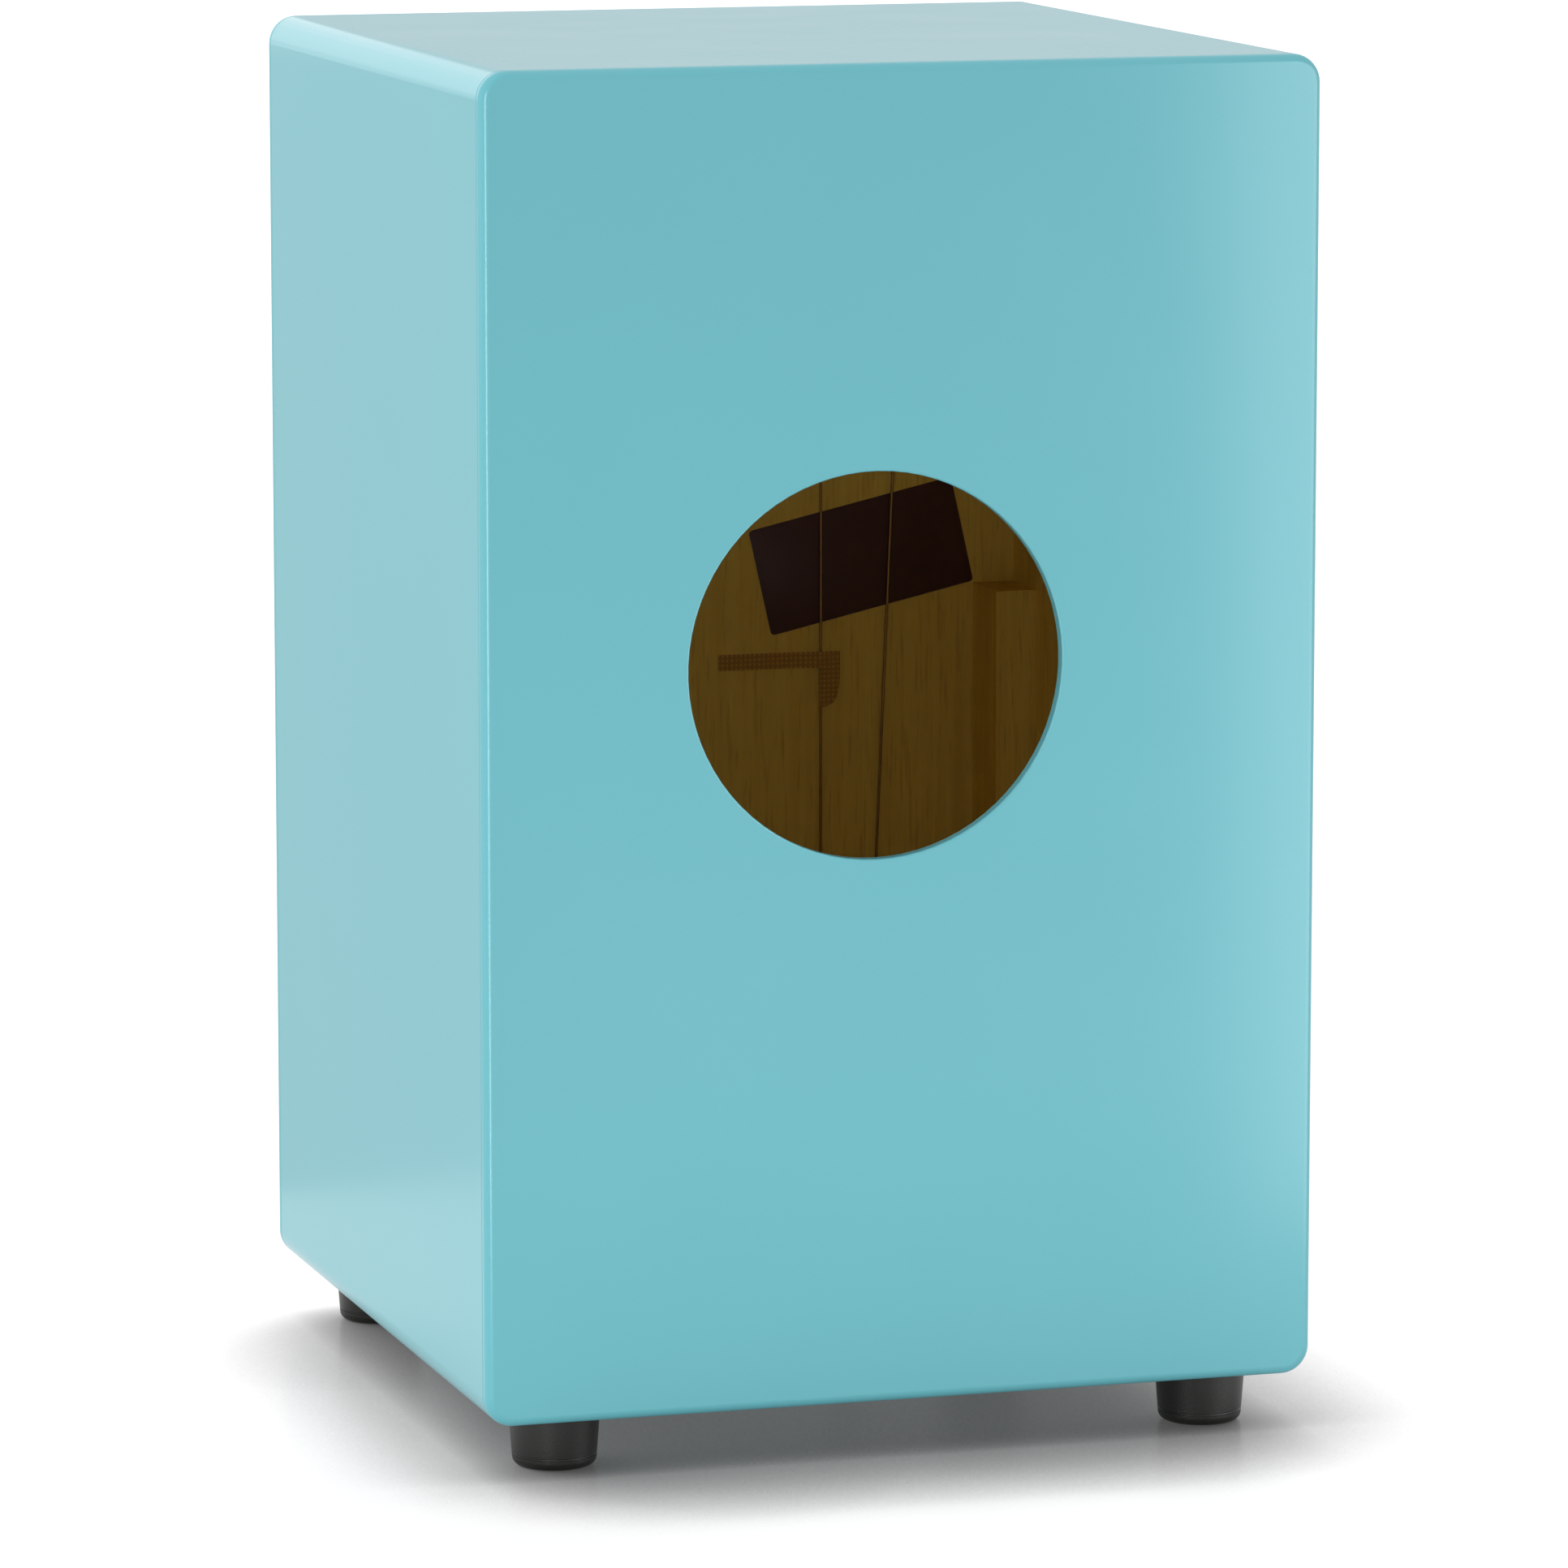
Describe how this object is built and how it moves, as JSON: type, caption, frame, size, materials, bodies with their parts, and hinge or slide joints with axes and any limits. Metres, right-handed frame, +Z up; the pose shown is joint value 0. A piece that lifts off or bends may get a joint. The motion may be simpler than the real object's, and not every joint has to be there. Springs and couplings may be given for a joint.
{
  "type": "cajon",
  "caption": "Wooden box drum with a round sound hole in the back panel, a thin front playing plate, tunable snare strings inside and rubber feet.",
  "frame": {"origin": "on the floor, at the centre of the footprint", "axes": "+Z up; +Y out of the back panel with the sound hole; -Y out of the front playing plate, the way the seated player faces; +X to the player's left"},
  "size_m": [0.3, 0.3, 0.484],
  "materials": {
    "painted_wood": "satin lacquer over plywood, raw inside",
    "raw_wood": "sawn, unfinished",
    "rubber": "moulded, satin",
    "black_screw_steel": "black zinc plated",
    "black_oxide_steel": "black oxide",
    "zinc_steel": "zinc plated",
    "string_wire": "wound wire",
    "brass": "turned",
    "dark_label": "matt vinyl",
    "damping_tape": "woven"
  },
  "bodies": {
    "box": {"back_panel": "painted_wood", "ball_ends_left": "brass", "ball_ends_right": "brass", "bottom_panel": "painted_wood", "damper_strap": "damping_tape", "foot_front_left": "rubber", "foot_front_right": "rubber", "foot_rear_left": "rubber", "foot_rear_right": "rubber", "foot_screws": "zinc_steel", "foot_washers": "zinc_steel", "front_batten_left": "raw_wood", "front_batten_right": "raw_wood", "front_plate": "painted_wood", "glue_block_lower_left": "raw_wood", "glue_block_lower_right": "raw_wood", "glue_block_upper_left": "raw_wood", "glue_block_upper_right": "raw_wood", "holder_screws": "zinc_steel", "inner_label": "dark_label", "left_side_panel": "painted_wood", "plate_screws_bottom": "black_screw_steel", "plate_screws_left": "black_screw_steel", "plate_screws_right": "black_screw_steel", "plate_screws_top": "black_screw_steel", "right_side_panel": "painted_wood", "seat_panel": "painted_wood", "string_holder_left": "zinc_steel", "string_holder_right": "zinc_steel", "tuning_washers": "zinc_steel"},
    "tuner_left": {"tuning_screw_left": "black_oxide_steel"},
    "tuner_right": {"tuning_screw_right": "black_oxide_steel"},
    "tensioner_left": {"tension_block_left": "zinc_steel", "clamp_screws_left": "black_oxide_steel", "string_inner_left": "string_wire", "string_outer_left": "string_wire"},
    "tensioner_right": {"tension_block_right": "zinc_steel", "clamp_screws_right": "black_oxide_steel", "string_inner_right": "string_wire", "string_outer_right": "string_wire"}
  },
  "joints": [
    {"name": "tuner_left_turn", "type": "hinge", "parent": "box", "child": "tuner_left", "pos_m": [0.0696, -0.1395, 0.02], "axis": [0, 0, 1], "range_deg": [-1080, 1080]},
    {"name": "tuner_right_turn", "type": "hinge", "parent": "box", "child": "tuner_right", "pos_m": [-0.0696, -0.1395, 0.02], "axis": [0, 0, 1], "range_deg": [-1080, 1080]},
    {"name": "tensioner_left_slide", "type": "slide", "parent": "box", "child": "tensioner_left", "axis": [0, 0, -1], "range_m": [-0.003, 0.003], "deforming": ["string_inner_left", "string_outer_left"]},
    {"name": "tensioner_right_slide", "type": "slide", "parent": "box", "child": "tensioner_right", "axis": [0, 0, -1], "range_m": [-0.003, 0.003], "deforming": ["string_inner_right", "string_outer_right"]}
  ],
  "couplings": [
    {"joint": "tuner_left_turn", "follows": "tensioner_left_slide", "rad_per_m": 6283},
    {"joint": "tuner_right_turn", "follows": "tensioner_right_slide", "rad_per_m": 6283}
  ]
}
